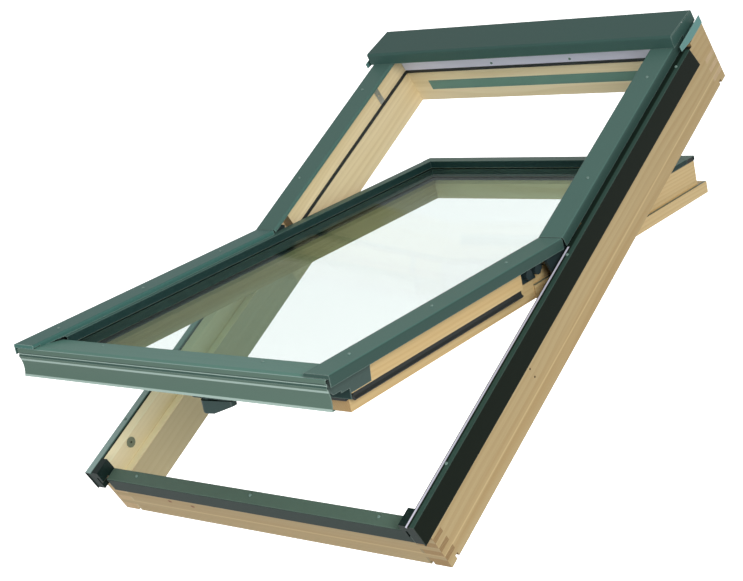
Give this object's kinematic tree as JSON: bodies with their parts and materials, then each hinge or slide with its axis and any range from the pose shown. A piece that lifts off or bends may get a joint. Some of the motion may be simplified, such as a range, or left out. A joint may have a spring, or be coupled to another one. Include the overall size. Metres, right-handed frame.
{
  "type": "roof skylight",
  "caption": "Pine roof window in its frame: the double-glazed sash turns about its middle and stands half open; coated metal covers and hood, bar handle, vent flap.",
  "frame": {"origin": "middle of the bottom rail's room-side face, on the land outside the lining groove", "axes": "+X across the window, +Y up the slope of the roof, +Z out of the roof through the glass"},
  "size_m": [0.784, 1.202, 0.6057],
  "materials": {
    "pine": "clear-lacquered pine, satin",
    "green_coated_metal": "grey-green powder coat on bent sheet, satin",
    "dark_coated_metal": "dark brown-green coat, semi-gloss",
    "pale_coated_metal": "pale grey coat, satin",
    "glass": "clear float glass",
    "spacer": "dull metal",
    "rubber": "black extruded rubber, matt",
    "hinge_metal": "dark blue-grey coat, semi-gloss",
    "handle_finish": "dark grey-green, satin",
    "steel": "zinc-plated steel",
    "black_plastic": "black moulded plastic",
    "grey_green_plastic": "grey-green moulded plastic"
  },
  "bodies": {
    "frame": {"frame_rail_left": "pine", "frame_rail_right": "pine", "frame_rail_top": "pine", "frame_rail_bottom": "pine", "side_profile_left": "dark_coated_metal", "side_profile_right": "dark_coated_metal", "profile_end_cap_left": "black_plastic", "profile_end_cap_right": "black_plastic", "sill_cover": "green_coated_metal", "head_strip": "pale_coated_metal", "head_tray": "green_coated_metal", "hood": "green_coated_metal", "upper_cover_left": "green_coated_metal", "upper_cover_right": "green_coated_metal", "frame_gasket_left": "rubber", "frame_gasket_right": "rubber", "frame_gasket_top": "rubber", "hinge_frame_left": "hinge_metal", "hinge_frame_right": "hinge_metal", "vent_body": "grey_green_plastic", "bolt_bushing": "grey_green_plastic", "upper_keep_plate": "steel", "latch_keep": "steel", "frame_screws": "steel"},
    "sash": {"sash_stile_left": "pine", "sash_stile_right": "pine", "sash_rail_top": "pine", "sash_rail_bottom": "pine", "glass_outer": "glass", "glass_inner": "glass", "glass_spacer": "spacer", "glass_seal": "rubber", "glazing_profile_left": "green_coated_metal", "glazing_profile_right": "green_coated_metal", "glazing_profile_top": "green_coated_metal", "glazing_profile_bottom": "green_coated_metal", "lower_cover_left": "green_coated_metal", "lower_cover_right": "green_coated_metal", "bottom_cover": "green_coated_metal", "sash_gasket_left": "rubber", "sash_gasket_right": "rubber", "sash_gasket_bottom": "rubber", "corner_plate_left": "green_coated_metal", "corner_plate_right": "green_coated_metal", "hinge_sash_left": "hinge_metal", "hinge_sash_right": "hinge_metal", "handle_base": "handle_finish", "sash_screws": "steel"},
    "handle": {"handle": "handle_finish"},
    "latch_bolt": {"latch_bolt": "steel"},
    "vent_flap": {"vent_flap": "grey_green_plastic"}
  },
  "joints": [
    {"name": "sash_pivot", "type": "hinge", "parent": "frame", "child": "sash", "pos_m": [0, 0.583, 0.146], "axis": [-1, 0, 0], "range_deg": [-26.6, 133.4]},
    {"name": "handle_turn", "type": "hinge", "parent": "sash", "child": "handle", "pos_m": [0, 0.05448, 0.29659], "axis": [0, 0.4478, 0.8942], "range_deg": [0, 90]},
    {"name": "latch_slide", "type": "slide", "parent": "sash", "child": "latch_bolt", "axis": [0, -0.8942, 0.4478], "range_m": [0, 0.01]},
    {"name": "vent_hinge", "type": "hinge", "parent": "frame", "child": "vent_flap", "pos_m": [0, 1.1343, 0.0505], "axis": [-1, 0, 0], "range_deg": [0, 15]}
  ],
  "couplings": [
    {"joint": "latch_slide", "follows": "handle_turn", "m_per_rad": 0.006366}
  ]
}
